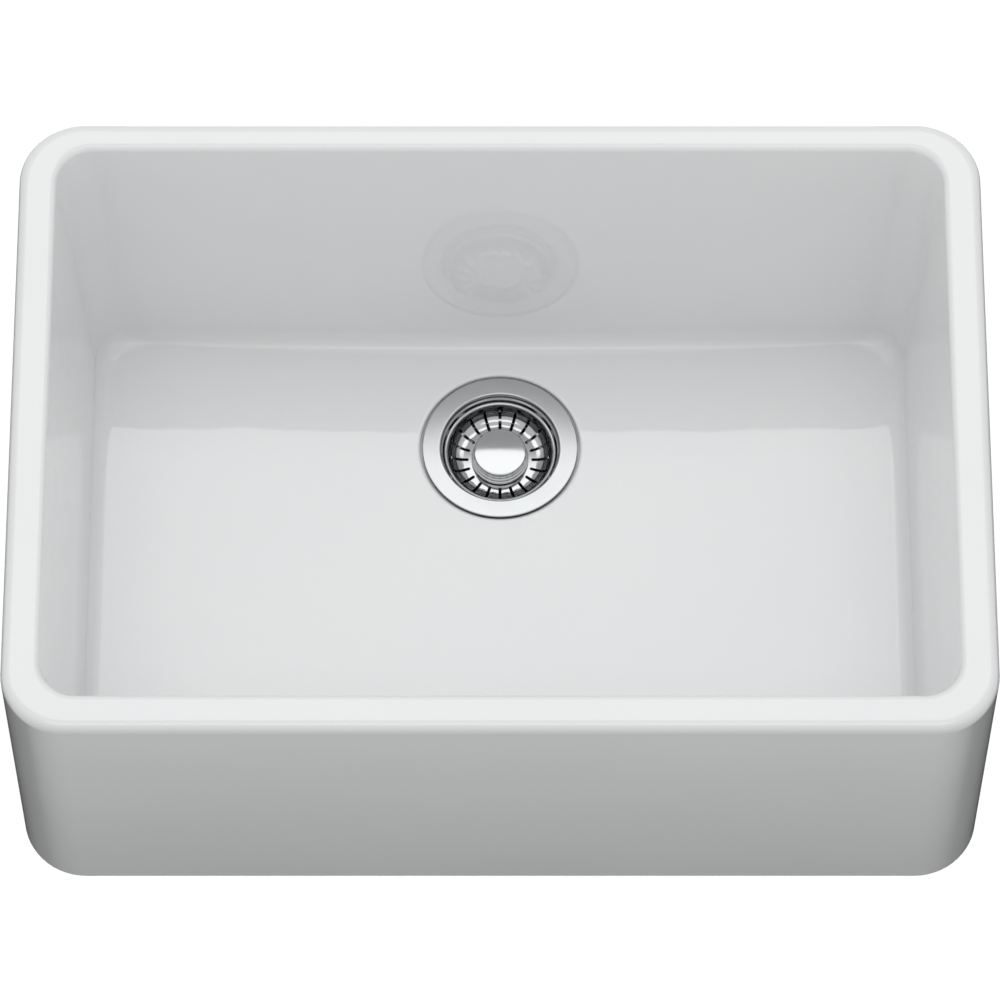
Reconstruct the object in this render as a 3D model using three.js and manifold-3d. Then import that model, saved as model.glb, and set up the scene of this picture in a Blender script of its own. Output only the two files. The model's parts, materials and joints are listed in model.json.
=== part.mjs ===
// Farmhouse apron front sink: a one-piece glazed fireclay basin whose front wall is the apron,
// with a basket strainer waste clamped in its drain hole.
// Millimetres, +Z up, the apron faces -Y. The origin is the middle of the basin's flat underside.
// The waste is drawn round its own axis, with height 0 on the polished top face of its flange.

import * as THREE from "three";
import { mergeVertices } from "three/addons/utils/BufferGeometryUtils.js";
import Module from "manifold-3d";

const wasm = await Module();
wasm.setup();

// ---- Basin, outside ----
const basinWidth = 686;
const basinDepth = 477;
const basinHeight = 258;
const outerCorner = 45.5; // radius of the four upright corners
const rimOuterFillet = 8;
const footFillet = 3;

// ---- Basin, bowl ----
const sideWall = 26.4; // wall thicknesses where the walls meet the rim
const backWall = 22.2;
const frontWall = 27.9;
const sideSlope = 4.7; // degrees that each wall leans out from upright
const backSlope = 9.2;
const frontSlope = 5;
const bowlCorner = 26; // radius of the upright corners inside
const rimInnerFillet = 5;
const floorFillet = 14;
const bowlDepth = 227.4; // rim to floor, beside the drain
const floorFall = 0.024; // fall of the floor towards the drain, per unit of distance

// ---- Basin, drain ----
const drainFromBack = 145.5; // drain axis to the back face
const seatLipFillet = 2.5; // soft edge of the recess that the flange lies in
const flangeSunk = 0.6; // flange face below the floor
const drainSlab = 11.6; // fireclay clamped between the flange and the lock nut
const undersideRecess = 72; // radius of the recess that the lock nut works in

// ---- Waste: flange, cup and outlet ----
const flangeRadius = 57.5;
const flangeThickness = 1.8;
const mouthRadius = 43.7;
const mouthFillet = 1.4;
const ledgeDepth = 5; // depth at which the cup steps in
const cupRadius = 42.3;
const cupDepth = 34;
const cupWall = 1.2;
const cupFillet = 5;
const crossbarHole = 5.3;
const crossbarBoss = 9;
const crossbarWidth = 4.5;
const outletBore = 20;
const nippleRadius = 23.9;
const nippleCollar = 29;
const nippleCollarThickness = 3;
const nippleLength = 27;

// ---- Waste: seals, nuts and tailpiece ----
const gasketThickness = 2;
const washerThickness = 3;
const washerOuter = 56;
const frictionThickness = 0.8;
const lockNutHeight = 10.5;
const lockNutRadius = 51;
const lockNutCollar = 55.5; // disc at the top of the nut
const lockNutCollarThickness = 2.5;
const lockNutLug = 58;
const lockNutLugs = 8;
const tailRadius = 19.05;
const tailWall = 1.1;
const tailLength = 102;
const tailFlange = 23;
const tailWasherThickness = 2;
const couplingFlats = 58; // width across the six flats
const couplingGrip = 18; // height of nut on the outlet's thread
const couplingLip = 2.8;

// ---- Basket ----
const basketRim = 41.5;
const basketRimDepth = 7; // top of the rolled rim, below the flange face
const basketBead = 2.4;
const basketDepth = 21; // inner floor of the basket, below the flange face
const basketFloor = 27.2; // radius of the flat floor
const basketCurve = 11; // radius that turns the floor into the wall
const basketSheet = 0.9;
const slotCount = 20;
const slotWidth = 2.3;
const slotStart = 23.2;
const slotEnd = 37.8;

// ---- Knob, stopper and post ----
const capRadius = 19.4;
const capDepth = 7.6; // crown of the cap, below the flange face
const capCrown = 0.7; // rise of its domed face
const capThickness = 3;
const hubRadius = 21.1;
const neckRings = 3;
const neckGroove = 1.5;
const neckTaper = 0.85; // each ring of the neck stands this much further out than the one above
const turningWasherThickness = 0.7;
const postRadius = 4;
const postLength = 38;
const steelWasherThickness = 1;
const backingRadius = 22;
const retainingRadius = 13;
const stopperRadius = 28.5;
const stopperWeb = 4.6;
const clipThickness = 1;
const clipRadius = 7;
const grooveDepth = 0.8;
const ringSection = 1.5;
const ringBelowFloor = 3; // rubber ring under the crossbar

// ---- Clearances ----
const seatGap = 0.3; // between pieces that rest on each other
const turningGap = 0.3; // round the post, in the pieces that it passes through
const boltGap = 1.1; // round the cup in the drain hole
const recessGap = 1.5; // round the flange in its recess

// ---- Steps of the curves ----
const cornerSteps = 9;
const sideSteps = 5;
const filletSteps = 4;
const floorSteps = 6;
const roundSteps = 40; // round the drain
const smallSteps = 24; // round the post and the small turned pieces
const basketSteps = 2 * slotCount;

// ---- Places worked out from the sizes above ----
const floorLevel = basinHeight - bowlDepth;
const flangeLevel = floorLevel - flangeSunk;
const drainY = basinDepth / 2 - drainFromBack;
const recessRadius = flangeRadius + recessGap;
const cupOuter = cupRadius + cupWall;
const collarOuter = mouthRadius + cupWall;
const drainHole = collarOuter + boltGap;
const gasketTop = -flangeThickness - seatGap;
const seatTop = gasketTop - gasketThickness - seatGap;
const slabBottom = seatTop - drainSlab;
const washerTop = slabBottom - seatGap;
const frictionTop = washerTop - washerThickness - seatGap;
const lockNutTop = frictionTop - frictionThickness - seatGap;
const threadBore = cupOuter + seatGap;
const cupBottom = -cupDepth - cupWall;
const nippleTop = cupBottom - seatGap;
const nippleEnd = nippleTop - nippleLength;
const tailWasherTop = nippleEnd - seatGap;
const tailTop = tailWasherTop - tailWasherThickness - seatGap;
const tailFlangeBottom = tailTop - tailWall;
const couplingBottom = tailFlangeBottom - seatGap - couplingLip;
const capBottom = -capDepth - capThickness;
const turningWasherTop = -basketDepth + seatGap + turningWasherThickness;
const neckTop = capBottom - seatGap;
const neckBottom = turningWasherTop + seatGap;
const backingTop = -basketDepth - basketSheet - seatGap;
const stopperTop = backingTop - steelWasherThickness - seatGap;
const stopperBottom = -cupDepth + seatGap;
const webBottom = stopperTop - stopperWeb;
const retainingTop = webBottom - seatGap;
const clipTop = retainingTop - steelWasherThickness - seatGap;
const postHole = postRadius + turningGap;
const postTop = capBottom + capThickness / 2;
const postBottom = postTop - postLength;
const ringMiddle = cupBottom - ringBelowFloor;

// ---- Shaping helpers ----

// Points of an arc in a section; the angle is in degrees, from outwards towards upwards.
function arc(x, y, radius, from, to, steps = filletSteps) {
  const points = [];
  for (let i = 0; i <= steps; i++) {
    const angle = THREE.MathUtils.degToRad(from + ((to - from) * i) / steps);
    points.push([x + radius * Math.cos(angle), y + radius * Math.sin(angle)]);
  }
  return points;
}

// A closed section of a ring with square edges.
function ringSectionOf(inner, outer, bottom, top) {
  return [[inner, bottom], [outer, bottom], [outer, top], [inner, top]];
}

// Turns a section of [radius, height] points round the Z axis.
function revolve(section, steps = smallSteps) {
  const points = section.map(([radius, height]) => new THREE.Vector2(radius, height));
  if (THREE.ShapeUtils.area(points) < 0) points.reverse();
  points.push(points[0].clone());
  return new THREE.LatheGeometry(points, steps).rotateX(Math.PI / 2);
}

// A flat outline raised from one height to another.
function raise(outline, bottom, top, curveSegments = filletSteps) {
  const settings = { depth: top - bottom, bevelEnabled: false, curveSegments };
  return new THREE.ExtrudeGeometry(outline, settings).translate(0, 0, bottom);
}

function toSolid(geometry) {
  const bare = geometry.clone();
  bare.deleteAttribute("normal");
  bare.deleteAttribute("uv");
  const merged = mergeVertices(bare);
  return new wasm.Manifold(new wasm.Mesh({
    numProp: 3,
    vertProperties: merged.attributes.position.array,
    triVerts: new Uint32Array(merged.index.array),
  }));
}

function toGeometry(solid) {
  const mesh = solid.getMesh();
  const geometry = new THREE.BufferGeometry();
  geometry.setAttribute("position", new THREE.BufferAttribute(mesh.vertProperties, 3));
  geometry.setIndex(new THREE.BufferAttribute(mesh.triVerts, 1));
  geometry.computeVertexNormals();
  return geometry;
}

function cut(body, ...tools) {
  return toGeometry(tools.reduce((solid, tool) => solid.subtract(toSolid(tool)), toSolid(body)));
}

function join(...bodies) {
  return toGeometry(bodies.map(toSolid).reduce((all, body) => all.add(body)));
}

// ---- Basin: one closed skin through a row of loops ----

// A rounded rectangle. Every loop of this kind has the same count of points, corner by corner.
function roundedLoop(reach, radius) {
  const corners = [
    [reach.right - radius, reach.back - radius, 0],
    [radius - reach.left, reach.back - radius, 90],
    [radius - reach.left, radius - reach.front, 180],
    [reach.right - radius, radius - reach.front, 270],
  ].map(([x, y, start]) => arc(x, y, radius, start, start + 90, cornerSteps));
  return corners.flatMap((corner, i) => {
    const [x, y] = corner.at(-1);
    const [nextX, nextY] = corners[(i + 1) % 4][0];
    const side = [];
    for (let k = 1; k < sideSteps; k++) {
      const share = k / sideSteps;
      side.push([x + (nextX - x) * share, y + (nextY - y) * share]);
    }
    return [...corner, ...side];
  });
}

const atHeight = (loop, z) => loop.map(([x, y]) => new THREE.Vector3(x, y, z));

function outerLoop(inset, z) {
  const reach = {
    right: basinWidth / 2 - inset,
    left: basinWidth / 2 - inset,
    back: basinDepth / 2 - inset,
    front: basinDepth / 2 - inset,
  };
  return atHeight(roundedLoop(reach, outerCorner - inset), z);
}

// The sloping walls, each by its reach from the origin at the foot of the rim fillet.
const walls = {
  right: { top: basinWidth / 2 - sideWall, slope: THREE.MathUtils.degToRad(sideSlope) },
  left: { top: basinWidth / 2 - sideWall, slope: THREE.MathUtils.degToRad(sideSlope) },
  back: { top: basinDepth / 2 - backWall, slope: THREE.MathUtils.degToRad(backSlope) },
  front: { top: basinDepth / 2 - frontWall, slope: THREE.MathUtils.degToRad(frontSlope) },
};
const wallTop = basinHeight - rimInnerFillet;

function wallReach(wall, z) {
  return wall.top - (wallTop - z) * Math.tan(wall.slope);
}

// A loop of the bowl whose walls stand `offset(wall)` further out than the plain sloping walls.
function bowlLoop(z, offset) {
  const reach = {};
  for (const [side, wall] of Object.entries(walls)) {
    reach[side] = wallReach(wall, z) + offset(wall);
  }
  return atHeight(roundedLoop(reach, bowlCorner + offset(walls.right)), z);
}

// Loops over the rounded inner edge of the rim, from the flat top down to the sloping wall.
function rimInnerLoops() {
  return arc(0, 0, rimInnerFillet, 90, 0).map(([inward, up]) => {
    const z = wallTop + up;
    const offset = (wall) => {
      const centre = rimInnerFillet / Math.cos(wall.slope);
      return Math.max(0, centre - inward - up * Math.tan(wall.slope));
    };
    return bowlLoop(z, offset);
  });
}

// Loops down the rounded foot of the walls, laid on the floor that falls to the drain.
function floorFilletLoops() {
  return arc(0, 0, floorFillet, 0, -90, floorSteps).map(([outward, down]) => {
    const z = floorLevel + floorFillet + down;
    const offset = (wall) => {
      const foot = wallReach(wall, floorLevel);
      const centre = foot - (floorFillet * (1 - Math.sin(wall.slope))) / Math.cos(wall.slope);
      return Math.min(0, centre + outward - wallReach(wall, z));
    };
    return bowlLoop(z, offset).map(laidOnFall);
  });
}

function laidOnFall(point) {
  const away = Math.hypot(point.x, point.y - drainY) - recessRadius - seatLipFillet;
  return new THREE.Vector3(point.x, point.y, point.z + floorFall * away);
}

// A round loop about the drain; its height is measured from the flange face.
function drainLoop([radius, height]) {
  const z = flangeLevel + height;
  const points = arc(0, drainY, radius, 0, 360, roundSteps).slice(0, roundSteps);
  return atHeight(points, z);
}

function drainLoops() {
  const lipCentre = flangeSunk - seatLipFillet;
  const lip = arc(recessRadius + seatLipFillet, lipCentre, seatLipFillet, 90, 180);
  const hole = [
    [recessRadius, seatTop],
    [drainHole, seatTop],
    [drainHole, slabBottom],
    [undersideRecess, slabBottom],
    [undersideRecess, -flangeLevel],
  ];
  return [...lip, ...hole].map(drainLoop);
}

// Triangles between two loops of equal count, point by point.
function stripTriangles(count, first, second) {
  const triangles = [];
  for (let i = 0; i < count; i++) {
    const next = (i + 1) % count;
    triangles.push(first + i, first + next, second + next);
    triangles.push(first + i, second + next, second + i);
  }
  return triangles;
}

// Triangles between two loops of unequal count, by angle about the drain.
function fanTriangles(loops, starts, index) {
  const sorted = [index, (index + 1) % loops.length].map((n) =>
    loops[n]
      .map((point, i) => ({ at: starts[n] + i, angle: Math.atan2(point.y - drainY, point.x) }))
      .sort((a, b) => a.angle - b.angle),
  );
  const [first, second] = sorted;
  const pick = (list, i) => list[i % list.length].at;
  const angleOf = (list, i) => list[i % list.length].angle + 2 * Math.PI * Math.floor(i / list.length);
  const triangles = [];
  let i = 0;
  let j = 0;
  while (i < first.length || j < second.length) {
    const stepFirst = i < first.length && angleOf(first, i + 1) < angleOf(second, j + 1);
    if (stepFirst || j === second.length) {
      triangles.push(pick(first, i), pick(first, i + 1), pick(second, j));
      i++;
    } else {
      triangles.push(pick(first, i), pick(second, j + 1), pick(second, j));
      j++;
    }
  }
  return triangles;
}

// Closes the last loop back onto the first, so the skin has no open edge.
function skin(loops) {
  const starts = [];
  let total = 0;
  for (const loop of loops) {
    starts.push(total);
    total += loop.length;
  }
  const triangles = loops.flatMap((loop, n) => {
    const next = (n + 1) % loops.length;
    if (loop.length === loops[next].length) return stripTriangles(loop.length, starts[n], starts[next]);
    return fanTriangles(loops, starts, n);
  });
  const geometry = new THREE.BufferGeometry().setFromPoints(loops.flat());
  geometry.setIndex(triangles);
  geometry.computeVertexNormals();
  return geometry;
}

function basinGeometry() {
  const foot = arc(0, 0, footFillet, -90, 0, 2).map(([out, up]) => {
    return outerLoop(footFillet - out, footFillet + up);
  });
  const rim = arc(0, 0, rimOuterFillet, 0, 90).map(([out, up]) => {
    return outerLoop(rimOuterFillet - out, basinHeight - rimOuterFillet + up);
  });
  return skin([...foot, ...rim, ...rimInnerLoops(), ...floorFilletLoops(), ...drainLoops()]);
}

// ---- Waste fixed in the basin ----

// Drawn cup and flange in one sheet, open at the outlet.
function strainerBodyGeometry() {
  const mouth = arc(mouthRadius + mouthFillet, -mouthFillet, mouthFillet, 90, 180);
  const innerFoot = arc(cupRadius - cupFillet, -cupDepth + cupFillet, cupFillet, 0, -90);
  const outerFoot = arc(cupRadius - cupFillet, -cupDepth + cupFillet, cupFillet + cupWall, -90, 0);
  const edge = flangeThickness / 2;
  const rolledEdge = arc(flangeRadius - edge, -edge, edge, -90, 90);
  return revolve([
    [outletBore, -cupDepth],
    [outletBore, cupBottom],
    ...outerFoot,
    [cupOuter, -ledgeDepth - cupWall],
    [collarOuter, -ledgeDepth],
    [collarOuter, -flangeThickness],
    ...rolledEdge,
    ...mouth,
    [mouthRadius, -ledgeDepth],
    [cupRadius, -ledgeDepth - cupWall],
    ...innerFoot,
  ], roundSteps);
}

// Stamped cross in the cup's outlet: a boss that guides the post, on four arms.
function crossbarGeometry() {
  const reach = outletBore - seatGap;
  const armAt = (radius) => Math.asin(crossbarWidth / 2 / radius);
  const outline = new THREE.Shape();
  for (let i = 0; i < 4; i++) {
    const arm = (i * Math.PI) / 2;
    const nextArm = arm + Math.PI / 2;
    outline.absarc(0, 0, reach, arm - armAt(reach), arm + armAt(reach), false);
    outline.absarc(0, 0, crossbarBoss, arm + armAt(crossbarBoss), nextArm - armAt(crossbarBoss), false);
  }
  const hole = revolve([
    [0, cupBottom - 1],
    [crossbarHole, cupBottom - 1],
    [crossbarHole, 1 - cupDepth],
    [0, 1 - cupDepth],
  ]);
  return cut(raise(outline, cupBottom, -cupDepth), hole);
}

function outletNippleGeometry() {
  return revolve([
    [outletBore, nippleTop],
    [nippleCollar, nippleTop],
    [nippleCollar, nippleTop - nippleCollarThickness],
    [nippleRadius, nippleTop - nippleCollarThickness],
    [nippleRadius, nippleEnd],
    [outletBore, nippleEnd],
  ]);
}

// Threaded ring with a collar against the friction ring and lugs for the spanner.
function lockNutGeometry() {
  const outline = new THREE.Shape();
  const pitch = (2 * Math.PI) / lockNutLugs;
  for (let i = 0; i < lockNutLugs; i++) {
    const middle = i * pitch;
    outline.absarc(0, 0, lockNutLug, middle - pitch / 8, middle + pitch / 8, false);
    outline.absarc(0, 0, lockNutRadius, middle + pitch / 6, middle + pitch - pitch / 6, false);
  }
  const lugs = raise(outline, lockNutTop - lockNutHeight, lockNutTop - lockNutCollarThickness);
  const collarBottom = lockNutTop - 2 * lockNutCollarThickness;
  const collar = revolve(ringSectionOf(threadBore, lockNutCollar, collarBottom, lockNutTop), roundSteps);
  const bore = revolve([
    [0, lockNutTop - lockNutHeight - 1],
    [threadBore, lockNutTop - lockNutHeight - 1],
    [threadBore, lockNutTop + 1],
    [0, lockNutTop + 1],
  ], roundSteps);
  return cut(join(lugs, collar), bore);
}

// Six-sided slip nut, threaded above its lip, with the corners turned off at both ends.
function couplingNutGeometry() {
  const top = nippleEnd + couplingGrip;
  const cornerRadius = couplingFlats / Math.sqrt(3);
  const chamfer = cornerRadius - couplingFlats / 2;
  const outline = new THREE.Shape();
  for (let i = 0; i < 6; i++) {
    const angle = (i * Math.PI) / 3;
    const place = [cornerRadius * Math.cos(angle), cornerRadius * Math.sin(angle)];
    if (i === 0) outline.moveTo(...place);
    else outline.lineTo(...place);
  }
  const turned = revolve([
    [0, couplingBottom],
    [cornerRadius - chamfer, couplingBottom],
    [cornerRadius, couplingBottom + chamfer / 2],
    [cornerRadius, top - chamfer / 2],
    [cornerRadius - chamfer, top],
    [0, top],
  ], roundSteps);
  const bore = revolve([
    [0, couplingBottom - 1],
    [tailRadius + seatGap, couplingBottom - 1],
    [tailRadius + seatGap, couplingBottom + couplingLip],
    [nippleRadius + seatGap, couplingBottom + couplingLip],
    [nippleRadius + seatGap, top + 1],
    [0, top + 1],
  ]);
  const blank = toSolid(raise(outline, couplingBottom, top)).intersect(toSolid(turned));
  return toGeometry(blank.subtract(toSolid(bore)));
}

function tailpieceGeometry() {
  const bore = tailRadius - tailWall;
  return revolve([
    [bore, tailTop],
    [tailFlange, tailTop],
    [tailFlange, tailFlangeBottom],
    [tailRadius, tailFlangeBottom],
    [tailRadius, tailTop - tailLength],
    [bore, tailTop - tailLength],
  ]);
}

// ---- Basket ----

// Pressed sheet: flat floor, curved wall and rolled rim, pierced by a ring of round-ended slots.
function basketShellGeometry() {
  const curveCentre = basketCurve - basketDepth;
  const wallInner = basketFloor + basketCurve;
  const beadRadius = basketBead / 2;
  const beadCentre = -basketRimDepth - beadRadius;
  const section = [
    [postHole, -basketDepth],
    [postHole, -basketDepth - basketSheet],
    ...arc(basketFloor, curveCentre, basketCurve + basketSheet, -90, 0),
    [wallInner + basketSheet, beadCentre - beadRadius],
    ...arc(basketRim - beadRadius, beadCentre, beadRadius, -60, 150),
    ...arc(basketFloor, curveCentre, basketCurve, 0, -90),
  ];
  const slots = [];
  for (let i = 0; i < slotCount; i++) {
    slots.push(slotGeometry().rotateZ((2 * Math.PI * i) / slotCount));
  }
  return cut(revolve(section, basketSteps), ...slots);
}

function slotGeometry() {
  const end = slotWidth / 2;
  const outline = new THREE.Shape();
  outline.absarc(slotEnd - end, 0, end, -Math.PI / 2, Math.PI / 2, false);
  outline.absarc(slotStart + end, 0, end, Math.PI / 2, 1.5 * Math.PI, false);
  return raise(outline, -basketDepth - 2 * basketSheet, -basketRimDepth - basketBead, 3);
}

// ---- Knob, stopper and post ----

// Slightly domed disc with a round edge.
function knobCapGeometry() {
  const edge = (capThickness - capCrown) / 2;
  const face = capRadius - edge;
  const domeRadius = (face * face + capCrown * capCrown) / (2 * capCrown);
  const spread = THREE.MathUtils.radToDeg(Math.asin(face / domeRadius));
  return revolve([
    ...arc(0, -capDepth - domeRadius, domeRadius, 90, 90 - spread, 2).slice(0, -1),
    ...arc(face, capBottom + edge, edge, 90, -90),
    [postHole, capBottom],
    [postHole, postTop + seatGap],
    [0, postTop + seatGap],
  ], roundSteps);
}

// Rings parted by grooves, each wider than the one above, down to the hub on the basket's floor.
function knobNeckGeometry() {
  const pitch = (neckTop - neckBottom) / neckRings;
  const section = [[postHole, neckBottom]];
  for (let i = neckRings - 1; i >= 0; i--) {
    const radius = hubRadius - neckTaper * (neckRings - 1 - i);
    const top = neckTop - i * pitch;
    section.push([radius, top - pitch], [radius, top - neckGroove]);
    section.push([radius - neckGroove, top - neckGroove / 2], [radius - neckGroove, top]);
  }
  section.push([postHole, neckTop]);
  return revolve(section);
}

// Rubber cup: a flat web under the backing washer and a flared skirt that closes on the floor.
function stopperGeometry() {
  const shoulder = backingRadius + 1;
  const lip = stopperRadius - outletBore;
  return revolve([
    [postHole, webBottom],
    [postHole, stopperTop],
    [shoulder, stopperTop],
    [stopperRadius, stopperBottom + lip / 3],
    [stopperRadius - lip / 6, stopperBottom],
    [outletBore + lip / 3, stopperBottom],
    [outletBore - 1, webBottom],
  ]);
}

// Turned pin with a groove for the clip and another for the rubber ring, and a tapered foot.
function basketPostGeometry() {
  const grooveRadius = postRadius - grooveDepth;
  const clipGroove = [clipTop + seatGap, clipTop - clipThickness - seatGap];
  const halfRing = ringSection / 2 + seatGap;
  const ringGroove = [ringMiddle + halfRing, ringMiddle - halfRing];
  const grooves = [clipGroove, ringGroove].flatMap(([top, bottom]) => [
    [postRadius, top], [grooveRadius, top], [grooveRadius, bottom], [postRadius, bottom],
  ]);
  return revolve([
    [0, postTop],
    [postRadius, postTop],
    ...grooves,
    [postRadius, postBottom + postRadius],
    [postRadius / 2, postBottom],
    [0, postBottom],
  ]);
}

// Open ring that springs into the post's groove.
function postClipGeometry() {
  const inner = postRadius - grooveDepth + seatGap;
  const half = Math.PI / 5;
  const outline = new THREE.Shape();
  outline.absarc(0, 0, clipRadius, half, -half, false);
  outline.absarc(0, 0, inner, -half, half, true);
  return raise(outline, clipTop - clipThickness, clipTop, 5 * filletSteps);
}

function postRingGeometry() {
  const inner = postRadius - grooveDepth + seatGap;
  const half = ringSection / 2;
  return revolve(arc(inner + half, ringMiddle, half, 0, 360, 6).slice(0, 6));
}

// ---- Finishes and assembly ----

function finish(color, roughness, metalness) {
  return () => new THREE.MeshStandardMaterial({ color, roughness, metalness });
}

const fireclay = finish(0xf1f2f2, 0.08, 0);
const polishedSteel = finish(0xc9cbcd, 0.12, 1);
const brushedSteel = finish(0xb5b8ba, 0.3, 1);
const zinc = finish(0xa9abac, 0.45, 1);
const brass = finish(0xb59a55, 0.35, 1);
const chrome = finish(0xd6d8da, 0.08, 1);
const blackRubber = finish(0x1b1b1c, 0.75, 0);
const fibre = finish(0x8a6f52, 0.9, 0);
const whitePlastic = finish(0xe6e4dd, 0.5, 0);

function piece(name, geometry, material) {
  const mesh = new THREE.Mesh(geometry, material());
  mesh.name = name;
  return mesh;
}

function ring(name, inner, outer, top, thickness, material) {
  const steps = inner > outletBore ? roundSteps : smallSteps;
  return piece(name, revolve(ringSectionOf(inner, outer, top - thickness, top), steps), material);
}

// What is clamped in the drain hole, from the flange down.
const waste = new THREE.Group();
waste.add(
  piece("strainer_body", strainerBodyGeometry(), polishedSteel),
  piece("crossbar", crossbarGeometry(), polishedSteel),
  ring("flange_gasket", drainHole, flangeRadius - seatGap, gasketTop, gasketThickness, blackRubber),
  ring("body_washer", threadBore, washerOuter, washerTop, washerThickness, blackRubber),
  ring("friction_ring", threadBore, washerOuter, frictionTop, frictionThickness, fibre),
  piece("lock_nut", lockNutGeometry(), zinc),
  piece("outlet_nipple", outletNippleGeometry(), brass),
  ring("tailpiece_washer", outletBore, tailFlange, tailWasherTop, tailWasherThickness, whitePlastic),
  piece("coupling_nut", couplingNutGeometry(), chrome),
  piece("tailpiece", tailpieceGeometry(), chrome),
);

// What lifts out by the knob.
const washerReach = hubRadius - neckGroove;
const basket = new THREE.Group();
basket.add(
  piece("basket_shell", basketShellGeometry(), polishedSteel),
  ring("neck_washer", postHole, washerReach, turningWasherTop, turningWasherThickness, whitePlastic),
  piece("knob_cap", knobCapGeometry(), polishedSteel),
  piece("knob_neck", knobNeckGeometry(), polishedSteel),
  piece("basket_post", basketPostGeometry(), brushedSteel),
  ring("backing_washer", postHole, backingRadius, backingTop, steelWasherThickness, brushedSteel),
  piece("stopper", stopperGeometry(), blackRubber),
  ring("retaining_washer", postHole, retainingRadius, retainingTop, steelWasherThickness, brushedSteel),
  piece("post_clip", postClipGeometry(), brushedSteel),
  piece("post_ring", postRingGeometry(), blackRubber),
);

const drain = new THREE.Group();
drain.position.set(0, drainY, flangeLevel);
drain.add(waste, basket);

const sink = new THREE.Group();
sink.add(piece("basin", basinGeometry(), fireclay), drain);

export default sink;
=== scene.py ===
"""Farmhouse apron front sink in white glazed fireclay, with a basket strainer waste in its drain.

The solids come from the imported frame. Every piece here is a finely made one that stands for one of them, in the same
place. Sizes are in millimetres, and heights on the waste are measured from the polished face of its flange.
"""

import json
import math

import bmesh
import bpy
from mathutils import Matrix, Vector


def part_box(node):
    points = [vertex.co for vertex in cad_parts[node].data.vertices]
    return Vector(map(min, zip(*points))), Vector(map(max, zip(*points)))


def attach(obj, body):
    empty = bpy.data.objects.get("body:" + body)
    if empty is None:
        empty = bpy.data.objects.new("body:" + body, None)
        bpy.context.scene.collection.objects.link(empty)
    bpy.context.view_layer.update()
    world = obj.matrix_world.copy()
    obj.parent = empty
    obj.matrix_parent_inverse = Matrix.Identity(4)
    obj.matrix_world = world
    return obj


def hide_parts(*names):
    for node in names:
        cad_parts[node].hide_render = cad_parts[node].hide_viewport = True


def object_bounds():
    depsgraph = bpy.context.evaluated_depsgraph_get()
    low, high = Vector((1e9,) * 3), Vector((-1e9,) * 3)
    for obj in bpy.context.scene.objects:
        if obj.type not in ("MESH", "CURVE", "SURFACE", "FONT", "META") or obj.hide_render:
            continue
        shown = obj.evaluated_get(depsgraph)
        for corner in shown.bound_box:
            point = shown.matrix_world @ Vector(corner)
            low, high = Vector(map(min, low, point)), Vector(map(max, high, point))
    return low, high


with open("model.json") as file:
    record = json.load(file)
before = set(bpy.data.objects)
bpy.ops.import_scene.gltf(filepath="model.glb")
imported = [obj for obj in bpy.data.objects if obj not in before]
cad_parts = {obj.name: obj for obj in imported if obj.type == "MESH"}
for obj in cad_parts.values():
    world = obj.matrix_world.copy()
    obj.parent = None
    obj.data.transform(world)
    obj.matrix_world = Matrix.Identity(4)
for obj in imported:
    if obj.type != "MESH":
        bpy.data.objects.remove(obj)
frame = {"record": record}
cad_low, cad_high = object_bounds()

MM = 0.001

# ---- Basin ----
basin_low, basin_high = (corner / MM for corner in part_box("basin"))
HALF_WIDTH = basin_high.x
HALF_DEPTH = basin_high.y
HEIGHT = basin_high.z
OUTER_CORNER = 45.5
RIM_OUTER_ROUNDING = 8
RIM_INNER_ROUNDING = 5
FOOT_ROUNDING = 3
SIDE_WALL = 26.4  # walls where they meet the rim
BACK_WALL = 22.2
FRONT_WALL = 27.9
SIDE_SLOPE = 4.7  # degrees out from upright
BACK_SLOPE = 9.2
FRONT_SLOPE = 5
BOWL_CORNER = 26
FLOOR_ROUNDING = 12.6  # how far the foot of the walls is cut back into a curve
FLOOR_DEPTH = 227.4
FLOOR_FALL = 0.024  # fall of the floor towards the drain
FALL_REACH = 600  # the fall runs out past the furthest corner
CORNER_STEPS = 14
SIDE_CUTS = 17
END_CUTS = 11
FLOOR_CUTS = 16

# ---- Waste ----
body_low, body_high = (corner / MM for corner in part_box("strainer_body"))
DRAIN_X = (body_low.x + body_high.x) / 2
DRAIN_Y = (body_low.y + body_high.y) / 2
FLANGE = body_high.z
FLANGE_RADIUS = body_high.x - DRAIN_X
FLANGE_SUNK = 0.6
RECESS_RADIUS = FLANGE_RADIUS + 1.5
LIP_ROUNDING = 2.5
SEAT = -4.4
DRAIN_HOLE = 46
SLAB_BOTTOM = -16
UNDERSIDE_RECESS = 72
TURNED_STEPS = 96
THREAD_PITCH = 2
THREAD_DEPTH = 0.6
NUT_ACROSS_FLATS = 58
SLOTS = 20
LUGS = 8


# ---- Working at the bench ----


def put_down():
    """Leaves edit mode with nothing selected, because an operator acts on all that is selected."""
    if bpy.context.mode != "OBJECT":
        bpy.ops.object.mode_set(mode="OBJECT")
    bpy.ops.object.select_all(action="DESELECT")


def take_up(piece):
    """Opens a piece in edit mode."""
    put_down()
    piece.select_set(True)
    bpy.context.view_layer.objects.active = piece
    bpy.ops.object.mode_set(mode="EDIT")


def just_added(name):
    """Names the new primitive and moves its place and size into its mesh, which is then opened."""
    piece = bpy.context.object
    piece.name = name
    bpy.ops.object.transform_apply(location=True, rotation=True, scale=True)
    take_up(piece)
    return piece


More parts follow.
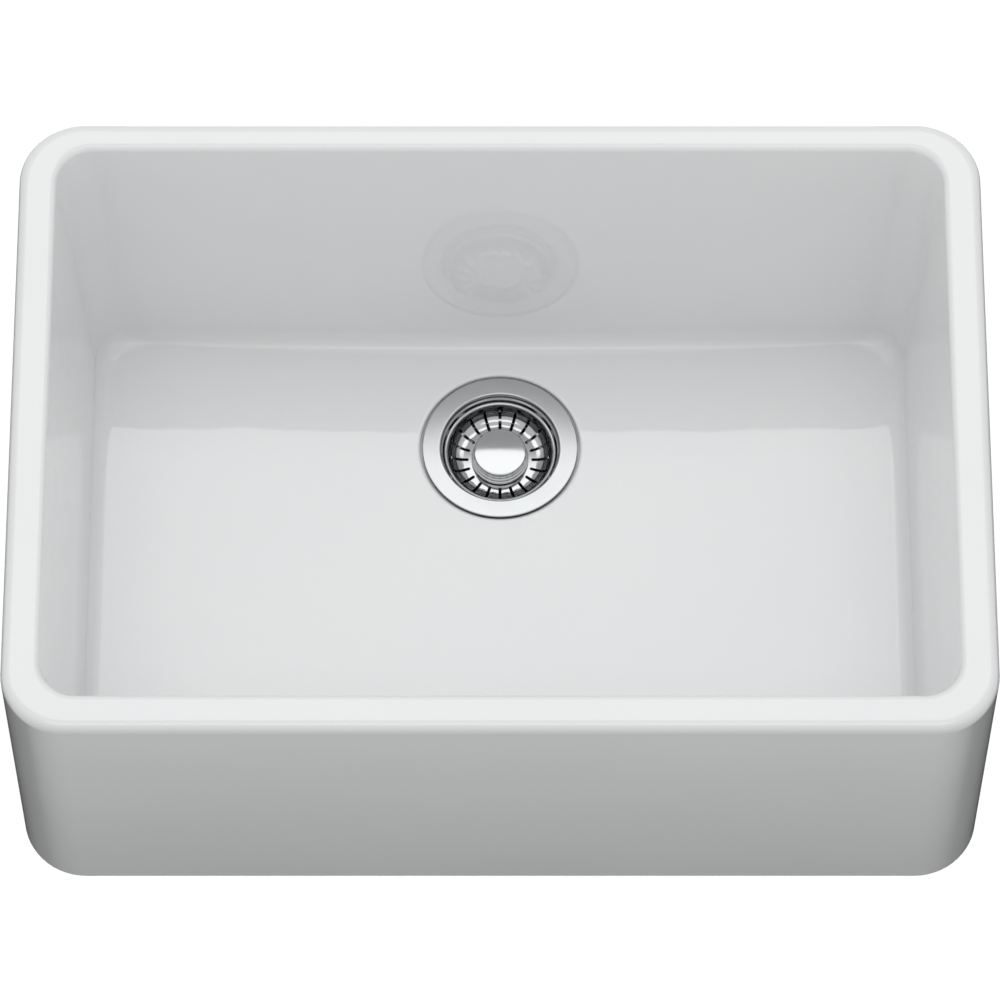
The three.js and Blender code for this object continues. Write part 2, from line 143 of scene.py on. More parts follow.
def pick(kind, test):
    """Selects the vertices, edges or faces whose corners, in mm, all together pass the test."""
    bpy.ops.mesh.select_mode(type=kind)
    bpy.ops.mesh.select_all(action="DESELECT")
    mesh = bpy.context.object.data
    work = bmesh.from_edit_mesh(mesh)
    for element in {"VERT": work.verts, "EDGE": work.edges, "FACE": work.faces}[kind]:
        corners = [element] if kind == "VERT" else element.verts
        if not element.hide and test([corner.co / MM for corner in corners]):
            element.select_set(True)
    work.select_flush_mode()
    bmesh.update_edit_mesh(mesh)


def from_drain(point):
    """Radius about the drain and height from the flange face."""
    return math.hypot(point.x - DRAIN_X, point.y - DRAIN_Y), point.z - FLANGE


def on_ring(radius, height):
    """A test for corners that all lie on one circle about the drain."""

    def test(corners):
        places = [from_drain(corner) for corner in corners]
        return all(abs(r - radius) < 0.03 and abs(h - height) < 0.03 for r, h in places)

    return test


def round_off(width, segments):
    """Rounds the selected edges, cut back by this width on either side."""
    bpy.ops.mesh.bevel(offset=width * MM, segments=segments, affect="EDGES", clamp_overlap=False)


def modify(piece, kind, **settings):
    """Adds a modifier to the piece and applies it."""
    put_down()
    piece.select_set(True)
    bpy.context.view_layer.objects.active = piece
    modifier = piece.modifiers.new(kind, kind)
    for name, value in settings.items():
        setattr(modifier, name, value)
    bpy.ops.object.modifier_apply(modifier=modifier.name)


def polish(piece):
    """Turns the faces outwards, and shades curves smooth while flats stay flat and edges crisp."""
    take_up(piece)
    bpy.ops.mesh.select_all(action="SELECT")
    bpy.ops.mesh.remove_doubles(threshold=0.001 * MM)
    bpy.ops.mesh.normals_make_consistent(inside=False)
    put_down()
    piece.select_set(True)
    bpy.context.view_layer.objects.active = piece
    bpy.ops.object.shade_smooth_by_angle(angle=math.radians(35))
    modify(piece, "WEIGHTED_NORMAL", weight=100, keep_sharp=True)
    return piece


# ---- The basin ----


def four_walls(name, top, foot, low, high, corner):
    """Four walls with rounded upright corners, open above and below. `top` and `foot` are the reach to the right and
    left, to the back and to the front at each end."""
    side, back, front = top
    centre = Vector((0, (back - front) / 2, (low + high) / 2)) * MM
    size = Vector((2 * side, back + front, high - low)) * MM
    put_down()
    bpy.ops.mesh.primitive_cube_add(size=1, location=centre, scale=size)
    walls = just_added(name)
    pick("FACE", lambda corners: max(c.z for c in corners) - min(c.z for c in corners) < 1)
    bpy.ops.mesh.delete(type="FACE")
    pick("EDGE", lambda ends: abs(ends[0].z - ends[1].z) > 1)
    round_off(corner, CORNER_STEPS)
    for right in (-1, 1):
        for rear in (-1, 1):
            in_corner = lambda c: c.x * right > 0 and (c.y - centre.y / MM) * rear > 0
            pick("VERT", lambda c: c[0].z < low + 1 and in_corner(c[0]))
            along = foot[1] - back if rear > 0 else front - foot[2]
            bpy.ops.transform.translate(value=(right * (foot[0] - side) * MM, along * MM, 0))
    for axis, cuts in ((0, SIDE_CUTS), (1, END_CUTS)):
        pick("EDGE", lambda ends: abs(ends[0][axis] - ends[1][axis]) > 2 * corner)
        bpy.ops.mesh.subdivide(number_cuts=cuts)
    return walls


def inset_from_outline(point):
    """How far a point lies inside the basin's outline, seen from above."""
    x = abs(point.x) - HALF_WIDTH + OUTER_CORNER
    y = abs(point.y) - HALF_DEPTH + OUTER_CORNER
    return OUTER_CORNER - math.hypot(max(x, 0), max(y, 0)) - min(max(x, y), 0)


def rim_edge(inner):
    """A test for the outer or the inner edge of the rim before it is rounded."""
    return lambda ends: all(
        abs(c.z - HEIGHT) < 0.1 and (inset_from_outline(c) > 10) == inner for c in ends
    )


def draw_rings(rings, radius, height):
    """Draws the selected circle about the drain on through each further radius and height."""
    for next_radius, next_height in rings:
        bpy.ops.mesh.extrude_region()
        growth = next_radius / radius
        axis = (DRAIN_X * MM, DRAIN_Y * MM, 0)
        bpy.ops.transform.resize(value=(growth, growth, 1), center_override=axis)
        bpy.ops.transform.translate(value=(0, 0, (next_height - height) * MM))
        radius, height = next_radius, next_height


def basin():
    """The one-piece casting: an upright box outside, and a bowl with leaning walls and a falling floor inside."""
    outside = (HALF_WIDTH, HALF_DEPTH, HALF_DEPTH)
    casting = four_walls("basin_casting", outside, outside, 0, HEIGHT, OUTER_CORNER)
    wall_top = HEIGHT - RIM_INNER_ROUNDING
    reach = (
        (HALF_WIDTH - SIDE_WALL, SIDE_SLOPE),
        (HALF_DEPTH - BACK_WALL, BACK_SLOPE),
        (HALF_DEPTH - FRONT_WALL, FRONT_SLOPE),
    )
    mouth = [wall + (HEIGHT - wall_top) * math.tan(math.radians(slope)) for wall, slope in reach]
    wall_height = wall_top - HEIGHT + FLOOR_DEPTH
    foot = [wall - wall_height * math.tan(math.radians(slope)) for wall, slope in reach]
    # The floor is first laid level, as high above its place as it will fall.
    fall = FLOOR_FALL * FALL_REACH
    floor = HEIGHT - FLOOR_DEPTH + fall
    bowl = four_walls("bowl", mouth, foot, floor, HEIGHT, BOWL_CORNER)
    bpy.ops.mesh.select_all(action="SELECT")
    bpy.ops.mesh.flip_normals()  # its walls are seen from inside
    points = 4 * (CORNER_STEPS + 1) + 2 * SIDE_CUTS + 2 * END_CUTS

    put_down()
    place = Vector((DRAIN_X, DRAIN_Y, floor)) * MM
    bpy.ops.mesh.primitive_circle_add(vertices=points, radius=RECESS_RADIUS * MM, location=place)
    drain = just_added("drain")
    bpy.ops.mesh.select_all(action="SELECT")
    draw_rings(
        [
            (RECESS_RADIUS, SEAT),
            (DRAIN_HOLE, SEAT),
            (DRAIN_HOLE, SLAB_BOTTOM),
            (UNDERSIDE_RECESS, SLAB_BOTTOM),
        ],
        RECESS_RADIUS,
        FLANGE_SUNK,
    )
    put_down()
    for part in (bowl, drain, casting):
        part.select_set(True)
    bpy.context.view_layer.objects.active = casting
    bpy.ops.object.join()
    take_up(casting)
    pick("EDGE", lambda ends: rim_edge(False)(ends) or rim_edge(True)(ends))
    bpy.ops.mesh.bridge_edge_loops()
    at_foot = lambda ends: all(abs(c.z - floor) < 0.1 and from_drain(c)[0] > UNDERSIDE_RECESS for c in ends)
    at_lip = on_ring(RECESS_RADIUS, FLANGE_SUNK + fall)
    pick("EDGE", lambda ends: at_foot(ends) or at_lip(ends))
    bpy.ops.mesh.bridge_edge_loops()

    pick("EDGE", rim_edge(False))
    round_off(RIM_OUTER_ROUNDING, 8)
    pick("EDGE", rim_edge(True))
    round_off(RIM_INNER_ROUNDING, 6)
    pick("EDGE", at_foot)
    round_off(FLOOR_ROUNDING, 10)
    pick("EDGE", at_lip)
    round_off(LIP_ROUNDING, 5)
    lip = RECESS_RADIUS + LIP_ROUNDING
    across_floor = lambda ends: (
        all(abs(c.z - floor) < 0.1 for c in ends)
        and abs(min(from_drain(c)[0] for c in ends) - lip) < 2
        and max(from_drain(c)[0] for c in ends) > lip + 5
    )
    pick("EDGE", across_floor)
    bpy.ops.mesh.subdivide(number_cuts=FLOOR_CUTS)

    # The drain is drawn down, and the floor follows it the less, the further off it lies.
    pick("VERT", lambda c: c[0].z < floor + 2 * FLOOR_ROUNDING and inset_from_outline(c[0]) > 10)
    bpy.ops.mesh.hide(unselected=True)
    pick("VERT", lambda c: from_drain(c[0])[0] < lip + 0.1 or c[0].z < floor - 1)
    bpy.ops.transform.translate(
        value=(0, 0, -fall * MM),
        use_proportional_edit=True,
        proportional_edit_falloff="LINEAR",
        proportional_size=FALL_REACH * MM,
    )
    bpy.ops.mesh.reveal(select=False)

    pick("EDGE", on_ring(UNDERSIDE_RECESS, SLAB_BOTTOM))
    draw_rings([(UNDERSIDE_RECESS, -FLANGE)], UNDERSIDE_RECESS, SLAB_BOTTOM)
    at_underside = lambda ends: all(abs(c.z) < 0.1 for c in ends)
    pick("EDGE", at_underside)
    bpy.ops.mesh.bridge_edge_loops()
    pick("EDGE", lambda ends: at_underside(ends) and all(inset_from_outline(c) < 0.1 for c in ends))
    round_off(FOOT_ROUNDING, 4)
    pick("EDGE", on_ring(UNDERSIDE_RECESS, -FLANGE))
    round_off(1.5, 3)
    return polish(casting)


# ---- Turned, pressed and cut pieces of the waste ----


def turned(name, section, solid=False):
    """Turns a section about the drain's axis. Its corners are (radius, height) or (radius, height, cut back into a
    curve). The last joins up with the first, or both are closed with a flat face where the piece is solid."""
    put_down()
    radius, height = section[0][:2]
    place = Vector((DRAIN_X, DRAIN_Y, FLANGE + height)) * MM
    bpy.ops.mesh.primitive_circle_add(vertices=TURNED_STEPS, radius=radius * MM, location=place)
    piece = just_added(name)
    bpy.ops.mesh.select_all(action="SELECT")
    draw_rings([corner[:2] for corner in section[1:]], radius, height)
    first = on_ring(*section[0][:2])
    last = on_ring(*section[-1][:2])
    if solid:
        for end in (first, last):
            pick("EDGE", end)
            bpy.ops.mesh.edge_face_add()
    else:
        pick("EDGE", lambda ends: first(ends) or last(ends))
        bpy.ops.mesh.bridge_edge_loops()
    for radius, height, rounding in (corner for corner in section if len(corner) == 3):
        pick("EDGE", on_ring(radius, height))
        round_off(rounding, 3 if rounding < 2 else 10)
    return polish(piece)


def block(name, low, high):
    """A block between two corners in mm about the drain's axis, open in edit mode."""
    put_down()
    low, high = Vector(low), Vector(high)
    centre = Vector((DRAIN_X, DRAIN_Y, FLANGE)) + (low + high) / 2
    bpy.ops.mesh.primitive_cube_add(size=1, location=centre * MM, scale=(high - low) * MM)
    return just_added(name)


def round_the_axis(piece, count):
    """Copies a piece evenly round the drain's axis and joins the copies into one."""
    put_down()
    ring = [piece]
    for i in range(1, count):
        put_down()
        piece.select_set(True)
        bpy.context.view_layer.objects.active = piece
        bpy.ops.object.duplicate()
        copy = bpy.context.object
        take_up(copy)
        bpy.ops.mesh.select_all(action="SELECT")
        centre = (DRAIN_X * MM, DRAIN_Y * MM, 0)
        bpy.ops.transform.rotate(value=-2 * math.pi * i / count, orient_axis="Z", center_override=centre)
        put_down()
        ring.append(copy)
    for part in ring:
        part.select_set(True)
    bpy.context.view_layer.objects.active = piece
    bpy.ops.object.join()
    return piece


def worked(piece, operation, tool):
    """Joins the tool to the piece, cuts it away or keeps what they share; the tool is used up."""
    modify(piece, "BOOLEAN", object=tool, operation=operation, solver="EXACT")
    bpy.data.objects.remove(tool)


def ease_edges(piece, width):
    """Takes the sharpness off every hard edge."""
    modify(piece, "BEVEL", width=width * MM, segments=2, limit_method="ANGLE", angle_limit=math.radians(40))
    return polish(piece)


def thread(radius, top, bottom):
    """Section of an outside thread, from its first crest down to its last."""
    turns = round((top - bottom) / THREAD_PITCH)
    pitch = (top - bottom) / turns
    corners = [(radius, top)]
    for i in range(turns):
        corners.append((radius - THREAD_DEPTH, top - (i + 0.5) * pitch))
        corners.append((radius, top - (i + 1) * pitch))
    return corners


def ring(node, bore, rounding):
    """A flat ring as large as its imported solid."""
    low, high = (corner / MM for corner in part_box(node))
    outer = (high.x - low.x) / 2
    top, bottom = high.z - FLANGE, low.z - FLANGE
    corners = [(bore, top), (outer, top), (outer, bottom), (bore, bottom)]
    return turned(node + "_turned", [corner + (rounding,) for corner in corners])


def strainer_cup():
    """Drawn in one sheet: a cup with a rounded foot, a threaded wall, a small ledge and the wide polished flange."""
    return turned(
        "strainer_cup",
        [
            (20, -34),
            (20, -35.2),
            (43.5, -35.2, 6.2),
            *reversed(thread(43.5, -8, -28)),
            (43.5, -6.2),
            (44.9, -5),
            (44.9, -1.8),
            (FLANGE_RADIUS, -1.8, 0.8),
            (FLANGE_RADIUS, 0, 0.85),
            (43.7, 0, 1.4),
            (43.7, -5, 0.4),
            (42.3, -6.2, 0.4),
            (42.3, -34, 5),
        ],
    )


def crossbar():
    """A stamped cross: four arms from a boss with a hole for the post."""
    cross = turned("crossbar_stamping", [(9, -34), (9, -35.2)], solid=True)
    worked(cross, "UNION", round_the_axis(block("arm", (7, -2.25, -35.2), (19.5, 2.25, -34)), 4))
    worked(cross, "DIFFERENCE", turned("hole", [(5.3, -33), (5.3, -37)], solid=True))
    return ease_edges(cross, 0.2)


def lock_nut():
    """Cast ring with a collar above and eight lugs for the spanner below."""
    nut = turned(
        "lock_nut_casting",
        [(43.8, -20.7), (55.5, -20.7), (55.5, -25.7), (51, -25.7), (51, -31.2), (43.8, -31.2)],
    )
    lug = block("lug", (48, -6.6, -31.2), (58, 6.6, -23.2))
    pick("VERT", lambda c: c[0].x > 57)
    bpy.ops.transform.resize(value=(1, 0.86, 1))
    worked(nut, "UNION", round_the_axis(lug, LUGS))
    return ease_edges(nut, 0.5)


def outlet():
    """Turned tube with a collar against the cup, threaded down to its end."""
    return turned(
        "outlet_threaded_tube",
        [
            (20, -35.5),
            (29, -35.5, 0.3),
            (29, -38.5, 0.4),
            (23.3, -38.5),
            *thread(23.9, -39.5, -61.5),
            (23.2, -62.5),
            (20, -62.5, 0.3),
        ],
    )


def coupling_nut():
    """Slip nut with six flats, its corners turned off above and below, over an inner lip."""
    nut = turned(
        "slip_nut",
        [
            (24.2, -44.5),
            (29, -44.5),
            (33.49, -46.6),
            (33.49, -67.1),
            (29, -69.3),
            (19.35, -69.3),
            (19.35, -66.5),
            (24.2, -66.5),
        ],
    )
    put_down()
    place = Vector((DRAIN_X, DRAIN_Y, FLANGE - 44)) * MM
    turn = math.radians(30)
    corner = NUT_ACROSS_FLATS / math.sqrt(3) * MM
    bpy.ops.mesh.primitive_circle_add(vertices=6, radius=corner, location=place, rotation=(0, 0, turn))
    flats = just_added("flats")
    bpy.ops.mesh.select_all(action="SELECT")
    bpy.ops.mesh.edge_face_add()
    bpy.ops.mesh.extrude_region()
    bpy.ops.transform.translate(value=(0, 0, -26 * MM))
    bpy.ops.mesh.select_all(action="SELECT")
    bpy.ops.mesh.normals_make_consistent(inside=False)
    worked(nut, "INTERSECT", flats)
    return ease_edges(nut, 0.25)


def tailpiece():
    """Drawn tube with a flange turned out at its top."""
    return turned(
        "drain_tube",
        [
            (17.95, -65.1, 0.5),
            (23, -65.1, 0.4),
            (23, -66.2, 0.4),
            (19.05, -66.2),
            (19.05, -167.1, 0.3),
            (17.95, -167.1, 0.3),
        ],
    )


def basket_shell():
    """Pressed sheet with a flat floor, a curved wall and a rolled rim, pierced by radial slots with round ends."""
    shell = turned(
        "basket_pressing",
        [
            (4.3, -21),
            (4.3, -21.9),
            (39.1, -21.9, 11.9),
            (39.1, -9.4),
            (41.5, -9.4, 1.15),
            (41.5, -7, 1.15),
            (39.1, -7, 1.15),
            (38.2, -9.6),
            (38.2, -21, 11),
        ],
    )
    slot = block("slot", (23.2, -1.15, -23), (37.8, 1.15, -9.5))
    pick("EDGE", lambda ends: abs(ends[0].z - ends[1].z) > 5)
    round_off(1.15, 6)
    bpy.ops.mesh.select_all(action="SELECT")
    bpy.ops.mesh.remove_doubles(threshold=0.01 * MM)
    worked(shell, "DIFFERENCE", round_the_axis(slot, SLOTS))
    return ease_edges(shell, 0.12)


def knob_cap():
    """Polished disc with a faint dome and a round edge, recessed below for the head of the post."""
    dome = [(radius, -7.6 - 0.7 * (radius / 18.3) ** 2) for radius in (1, 3, 5, 7, 9, 11, 13, 15, 17)]
    return turned(
        "polished_cap",
        [*dome, (19.4, -8.35, 1.1), (19.4, -10.6, 1.1), (4.3, -10.6), (4.3, -8.8)],
        solid=True,
    )


def knob_neck():
    """Three rings parted by grooves, each wider than the one above."""
    section = [(4.3, -10.9)]
    for radius, top in ((19.4, -10.9), (20.25, -13.833), (21.1, -16.767)):
        section += [(radius - 1.5, top), (radius - 1.5, top - 0.8), (radius, top - 1.3, 0.3)]
        section += [(radius, top - 2.933, 0.45)]
    return turned("ringed_neck", [*section, (4.3, -19.7)])


def basket_post():
    """Turned pin with a groove for the clip, another for the rubber ring, and a tapered foot."""
    grooves = [(-29.4, -31), (-37.15, -39.25)]
    section = [(4, -9.1, 0.3)]
    for top, bottom in grooves:
        section += [(4, top, 0.15), (3.2, top), (3.2, bottom), (4, bottom, 0.15)]
    return turned("turned_pin", [*section, (4, -43.1, 0.6), (2, -47.1, 0.5)], solid=True)


def stopper():
    """Moulded rubber: a flat web, and a flared skirt with a thin lip that closes on the cup's floor."""
    return turned(
        "rubber_stopper",
        [
            (4.3, -28.1),
            (4.3, -23.5, 0.3),
            (23, -23.5, 1),
            (28.5, -30.87, 0.9),
            (27.08, -33.7, 0.4),
            (22.83, -33.7, 0.4),
            (19, -28.1, 0.6),
        ],
    )


def post_clip():
    """Open spring ring in the groove of the post."""
    clip = turned("spring_clip", [(3.5, -29.7), (7, -29.7), (7, -30.7), (3.5, -30.7)])
    put_down()
    worked(clip, "DIFFERENCE", block("opening", (0, -2.6, -32), (9, 2.6, -29)))
    return ease_edges(clip, 0.15)


# ---- Materials ----


def colour(code):
    """A colour written as sRGB hex, in the linear values that a shader takes."""
    channels = [int(code[i : i + 2], 16) / 255 for i in (0, 2, 4)]
    return [c / 12.92 if c <= 0.04045 else ((c + 0.055) / 1.055) ** 2.4 for c in channels] + [1]


def add(tree, kind, inputs, **settings):
    """Adds a node with its settings. An input is a plain value, or the output of another node, which is linked."""
    made = tree.nodes.new("ShaderNode" + kind)
    for name, value in settings.items():
        setattr(made, name, value)
    for name, value in inputs.items():
        if isinstance(value, bpy.types.NodeSocket):
            tree.links.new(value, made.inputs[name])
        else:
            made.inputs[name].default_value = value
    return made


def new_material(name):
    """A bare material, its node tree and the point of the surface in the piece's own metres."""
    material = bpy.data.materials.new(name)
    material.use_nodes = True
    tree = material.node_tree
    tree.nodes.clear()
    place = add(tree, "TexCoord", {}).outputs["Object"]
    return material, tree, place


def mapped(tree, value, low, high, least, most):
    """Maps low..high of a value onto least..most."""
    limits = {"From Min": low, "From Max": high, "To Min": least, "To Max": most}
    return add(tree, "MapRange", {"Value": value, **limits}).outputs[0]


def surface(tree, inputs):
    """Closes a material with its one shader."""
    shader = add(tree, "BsdfPrincipled", inputs)
    add(tree, "OutputMaterial", {"Surface": shader.outputs[0]})


def glazed_fireclay():
    """Fireclay under a thick opaque white glaze, fired to gloss. The glaze pools in slow waves, which bend its
    reflections, and has a faint orange peel. The underside stands on bare, buff, sanded clay."""
    material, tree, place = new_material("glazed_fireclay")
    waves = add(tree, "TexNoise", {"Vector": place, "Scale": 1 / (75 * MM), "Detail": 1.0, "Roughness": 0.4})
    peel = add(tree, "TexNoise", {"Vector": place, "Scale": 1 / (6 * MM), "Detail": 2.0})
    slow = add(tree, "Bump", {"Height": waves.outputs[0], "Distance": 0.35 * MM, "Strength": 1.0})
    fine = add(
        tree,
        "Bump",
        {"Height": peel.outputs[0], "Distance": 0.004 * MM, "Strength": 1.0, "Normal": slow.outputs[0]},
    )
    clouds = add(tree, "TexNoise", {"Vector": place, "Scale": 1 / (140 * MM), "Detail": 2.0})
    glaze = add(
        tree,
        "Mix",
        {0: clouds.outputs[0], 6: colour("eaebeb"), 7: colour("e6e7e8")},
        data_type="RGBA",
    )
    grit = add(tree, "TexNoise", {"Vector": place, "Scale": 1 / (1.2 * MM), "Detail": 4.0})
    height = add(tree, "SeparateXYZ", {0: place}).outputs["Z"]
    edge = mapped(tree, height, 0.9 * MM, 1.6 * MM, 0, 1)
    clay = add(
        tree, "Mix", {0: grit.outputs[0], 6: colour("cdbfa8"), 7: colour("b5a48a")}, data_type="RGBA"
    )
    base = add(
        tree, "Mix", {0: edge, 6: clay.outputs[2], 7: glaze.outputs[2]}, data_type="RGBA"
    )
    gloss = mapped(tree, edge, 0, 1, 0.85, 0.035)
    surface(
        tree,
        {
            "Base Color": base.outputs[2],
            "Roughness": gloss,
            "IOR": 1.6,
            "Normal": fine.outputs[0],
        },
    )
    return material


def turned_metal(name, light, dark, roughness, line_width, line_depth, smear=0.04, flange=0.0):
    """A metal worked round the drain's axis, which leaves fine rings of uneven depth, under faint smears of handling.
    Its flange, past the mouth of the cup, can be rougher."""
    material, tree, place = new_material(name)
    centred = add(tree, "Mapping", {"Vector": place, "Location": (-DRAIN_X * MM, -DRAIN_Y * MM, 0)})
    level = add(tree, "VectorMath", {0: centred.outputs[0], 1: (1, 1, 0)}, operation="MULTIPLY")
    radius = add(tree, "VectorMath", {0: level.outputs[0]}, operation="LENGTH")
    along = add(tree, "SeparateXYZ", {0: place}).outputs["Z"]
    across = add(tree, "Math", {0: radius.outputs["Value"], 1: along}, operation="ADD")
    rings = add(
        tree,
        "TexNoise",
        {"W": across.outputs[0], "Scale": 1 / (line_width * MM), "Detail": 3.0},
        noise_dimensions="1D",
    )
    smears = add(tree, "TexNoise", {"Vector": place, "Scale": 1 / (18 * MM), "Detail": 3.0})
    tone = add(tree, "Mix", {0: rings.outputs[0], 6: colour(light), 7: colour(dark)}, data_type="RGBA")
    smeared = mapped(tree, smears.outputs[0], 0, 1, roughness - smear, roughness + smear)
    past_mouth = mapped(tree, radius.outputs["Value"], 43.7 * MM, 46 * MM, 0, flange)
    rough = add(tree, "Math", {0: smeared, 1: past_mouth}, operation="ADD")
    bump = add(tree, "Bump", {"Height": rings.outputs[0], "Distance": line_depth * MM, "Strength": 1.0})
    surface(
        tree,
        {
            "Base Color": tone.outputs[2],
            "Metallic": 1.0,
            "Roughness": rough.outputs[0],
            "Normal": bump.outputs[0],
        },
    )
    return material


def grainy(name, light, dark, roughness, grain, depth, metallic=0.0):
    """A moulded, cast or pressed material with a fine grain and slow changes of tone."""
    material, tree, place = new_material(name)
    fine = add(tree, "TexNoise", {"Vector": place, "Scale": 1 / (grain * MM), "Detail": 4.0})
    slow = add(tree, "TexNoise", {"Vector": place, "Scale": 1 / (12 * grain * MM), "Detail": 2.0})
    both = add(tree, "Mix", {0: 0.5, 2: fine.outputs[0], 3: slow.outputs[0]}, data_type="FLOAT")
    tone = add(tree, "Mix", {0: both.outputs[0], 6: colour(light), 7: colour(dark)}, data_type="RGBA")
    rough = mapped(tree, fine.outputs[0], 0, 1, roughness - 0.08, roughness + 0.08)
    bump = add(tree, "Bump", {"Height": fine.outputs[0], "Distance": depth * MM, "Strength": 1.0})
    surface(
        tree,
        {
            "Base Color": tone.outputs[2],
            "Metallic": metallic,
            "Roughness": rough,
            "Normal": bump.outputs[0],
        },
    )
    return material


finishes = {
    "fireclay": glazed_fireclay(),
    "polished_steel": turned_metal(
        "polished_stainless_steel", "b3b4b5", "a9abac", 0.1, 0.45, 0.002, smear=0.03, flange=0.12
    ),
    "plain_steel": turned_metal("stamped_stainless_steel", "bdbfc1", "a3a6a9", 0.28, 0.3, 0.006),
    "zinc": grainy("cast_zinc", "a5a7a8", "8b8d8f", 0.5, 0.8, 0.05, metallic=1.0),
    "brass": turned_metal("turned_brass", "c9ad68", "a98b48", 0.26, 0.35, 0.01),
    "plated_brass": turned_metal("bright_chrome_plate", "dfe1e3", "d3d5d8", 0.06, 0.6, 0.001, smear=0.02),
    "black_rubber": grainy("moulded_black_rubber", "2a2a2b", "161617", 0.62, 0.5, 0.02),
    "fibre": grainy("pressed_brown_fibre", "9b7d5c", "75593d", 0.88, 0.35, 0.03),
    "white_plastic": grainy("moulded_white_nylon", "ecebe6", "e0ded7", 0.42, 0.6, 0.01),
}

# ---- Fitting the pieces to the frame ----

body_of_node = {
    node: body for body, nodes in frame["record"]["behaviour"]["bodies"].items() for node in nodes
}
slot_of_node = {part["node"]: part["material_slot"] for part in frame["record"]["subparts"]}


def stand_in(piece, node):
    """The piece takes the place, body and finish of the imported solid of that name."""
    piece.data.materials.clear()
    piece.data.materials.append(finishes[slot_of_node[node]])
    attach(piece, body_of_node[node])
    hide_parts(node)


for node, piece in (
    ("basin", basin()),
    ("strainer_body", strainer_cup()),
    ("crossbar", crossbar()),
    ("flange_gasket", ring("flange_gasket", 46, 0.4)),
    ("body_washer", ring("body_washer", 43.8, 0.6)),
    ("friction_ring", ring("friction_ring", 43.8, 0.1)),
    ("lock_nut", lock_nut()),
    ("outlet_nipple", outlet()),
    ("tailpiece_washer", ring("tailpiece_washer", 20, 0.3)),
    ("coupling_nut", coupling_nut()),
    ("tailpiece", tailpiece()),
    ("basket_shell", basket_shell()),
    ("neck_washer", ring("neck_washer", 4.3, 0.15)),
    ("knob_cap", knob_cap()),
    ("knob_neck", knob_neck()),
    ("basket_post", basket_post()),
    ("backing_washer", ring("backing_washer", 4.3, 0.2)),
    ("stopper", stopper()),
    ("retaining_washer", ring("retaining_washer", 4.3, 0.2)),
    ("post_clip", post_clip()),
    ("post_ring", ring("post_ring", 3.5, 0.6)),
):
    stand_in(piece, node)

# ---- Floor, lamps and camera ----

STAGE_WHITE = 0.97  # what the floor's own light gives; the lamps add the rest, less in the shadow
FILL = 0.72
CARD_FRONT = -0.4  # metres
CARD_BACK = 0.6
CARD_SIDE = 1.5
CARD_GAP = 0.3
CARD_UNDER_APRON = -0.22
CARD_FADE = 0.16


def seen_directly(tree):
    """1 where the background is seen, straight, in a reflection or through glass, and 0 for its light."""
    path = add(tree, "LightPath", {})
    mirrored = add(
        tree,
        "Math",
        {0: path.outputs["Is Camera Ray"], 1: path.outputs["Is Glossy Ray"]},
        operation="MAXIMUM",
    )
    return add(
        tree,
        "Math",
        {0: mirrored.outputs[0], 1: path.outputs["Is Transmission Ray"]},
        operation="MAXIMUM",
    ).outputs[0]


def white_floor():
    """A plain pale floor under the tailpiece, which keeps the object's shadow."""
    put_down()
    bpy.ops.mesh.primitive_plane_add(size=60, location=(0, 0, cad_low.z - 1 * MM))
    floor = bpy.context.object
    floor.name = "studio_floor"
    material, tree, _ = new_material("white_floor")
    matt = add(tree, "BsdfDiffuse", {"Color": colour("5a5a5a")})
    glow = add(tree, "Emission", {"Color": (1, 1, 1, 1), "Strength": STAGE_WHITE})
    nothing = add(tree, "Emission", {"Strength": 0.0})
    shown = add(tree, "MixShader", {0: seen_directly(tree), 1: nothing.outputs[0], 2: glow.outputs[0]})
    both = add(tree, "AddShader", {0: matt.outputs[0], 1: shown.outputs[0]})
    add(tree, "OutputMaterial", {"Surface": both.outputs[0]})
    floor.data.materials.append(material)


def studio_world(fill):
    """White where the background shows, and a dim even fill as light."""
    world = bpy.data.worlds.new("studio")
    bpy.context.scene.world = world
    world.use_nodes = True
    tree = world.node_tree
    tree.nodes.clear()
    dim = add(tree, "Background", {"Color": (1, 1, 1, 1), "Strength": fill})
    white = add(tree, "Background", {"Color": (1, 1, 1, 1), "Strength": 1.0})
    mix = add(tree, "MixShader", {0: seen_directly(tree), 1: dim.outputs[0], 2: white.outputs[0]})
    add(tree, "OutputWorld", {"Surface": mix.outputs[0]})


def softbox(name, place, size, glow, aim=(0, 0, 0.2)):
    """A large lamp turned to the object. Its strength is in proportion to its face and to `glow`."""
    lamp = bpy.data.lights.new(name, "AREA")
    lamp.shape = "RECTANGLE"
    lamp.size, lamp.size_y = size
    lamp.energy = glow * math.pi * size[0] * size[1]
    box = bpy.data.objects.new(name, lamp)
    bpy.context.scene.collection.objects.link(box)
    box.location = place
    box.rotation_euler = (Vector(aim) - Vector(place)).to_track_quat("-Z", "Y").to_euler()
    box.visible_camera = False
    return box


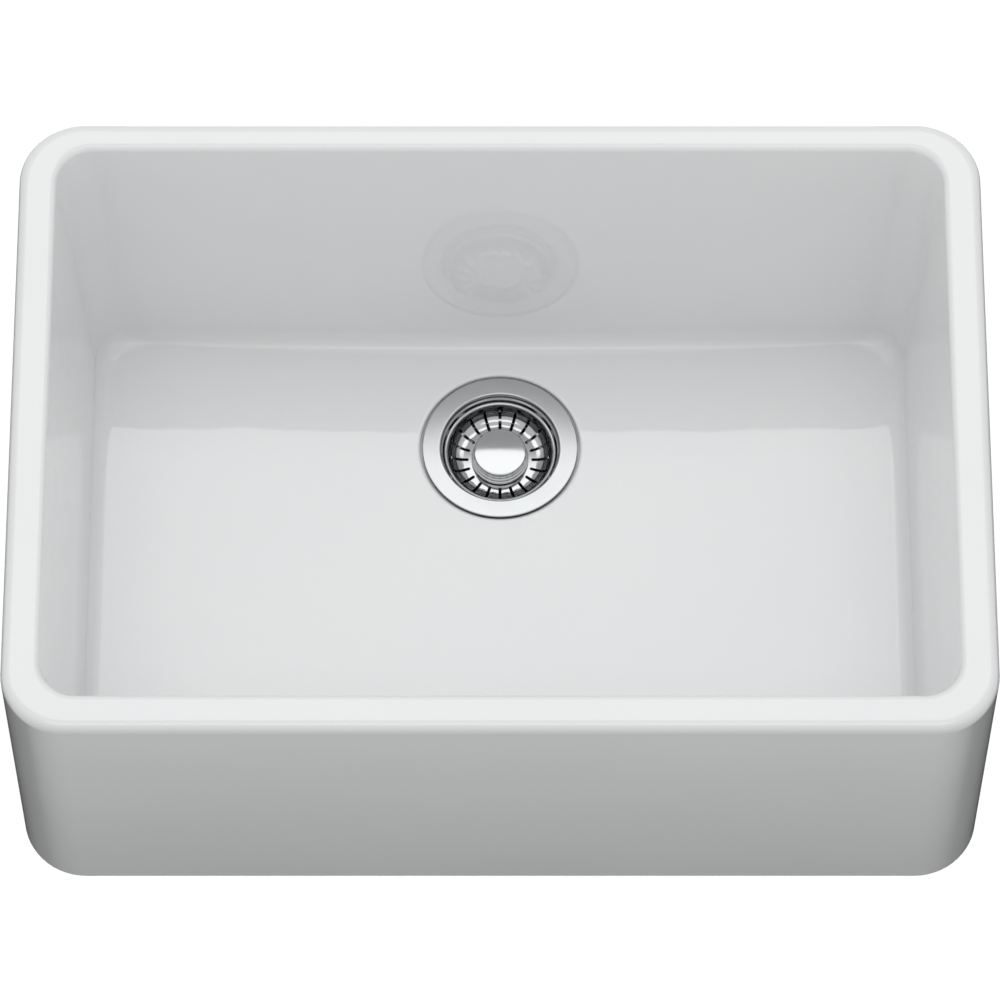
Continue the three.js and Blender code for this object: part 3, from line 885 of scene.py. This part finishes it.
def dark_card(name, low, high, fade):
    """A dark card on the floor beside the object, paler over its first `fade` metres from the front. Only
    reflections meet it: it draws the glaze's dark edge at the corners and shades the apron to its foot."""
    put_down()
    low, high = Vector(low), Vector(high)
    bpy.ops.mesh.primitive_plane_add(size=1, location=(low + high) / 2)
    card = bpy.context.object
    card.name = name
    take_up(card)
    bpy.ops.mesh.select_all(action="SELECT")
    bpy.ops.transform.resize(value=(high.x - low.x, high.y - low.y, 1))
    put_down()
    material, tree, place = new_material(name)
    from_centre = add(tree, "SeparateXYZ", {0: place}).outputs["Y"]
    front = (low.y - high.y) / 2
    shade = mapped(tree, from_centre, front, front + fade, 1, 0)
    tone = add(tree, "Emission", {"Color": (1, 1, 1, 1), "Strength": shade})
    add(tree, "OutputMaterial", {"Surface": tone.outputs[0]})
    card.data.materials.append(material)
    card.visible_camera = False
    card.visible_diffuse = False
    card.visible_shadow = False
    card.visible_transmission = False


white_floor()
studio_world(FILL)
for word, left, right, back in (
    ("left", -CARD_SIDE, -CARD_GAP, CARD_BACK),
    ("right", CARD_GAP, CARD_SIDE, CARD_BACK),
    ("front", -CARD_GAP, CARD_GAP, CARD_UNDER_APRON),
):
    card_low = (left, CARD_FRONT, cad_low.z)
    dark_card(word + "_dark_card", card_low, (right, back, cad_low.z), CARD_FADE)
softbox("rear_softbox", (0, 1.06, 2.53), (3.0, 1.0), 1.25)
softbox("front_softbox", (0, -1.14, 2.71), (2.4, 0.8), 1.2)

CAMERA_TILT = 63.725  # degrees down from level
CAMERA_RANGE = 4.435
LENS = 222.4
camera_data = bpy.data.cameras.new("camera")
camera_data.lens = LENS
camera_data.sensor_width = 36
camera_data.clip_end = 100
camera = bpy.data.objects.new("camera", camera_data)
bpy.context.scene.collection.objects.link(camera)
tilt = math.radians(CAMERA_TILT)
aim = Vector((0, 0.0004, 0.129))
camera.location = aim + CAMERA_RANGE * Vector((0, -math.cos(tilt), math.sin(tilt)))
camera.rotation_euler = (math.pi / 2 - tilt, 0, 0)
bpy.context.scene.camera = camera

bpy.context.scene.view_settings.view_transform = "Standard"
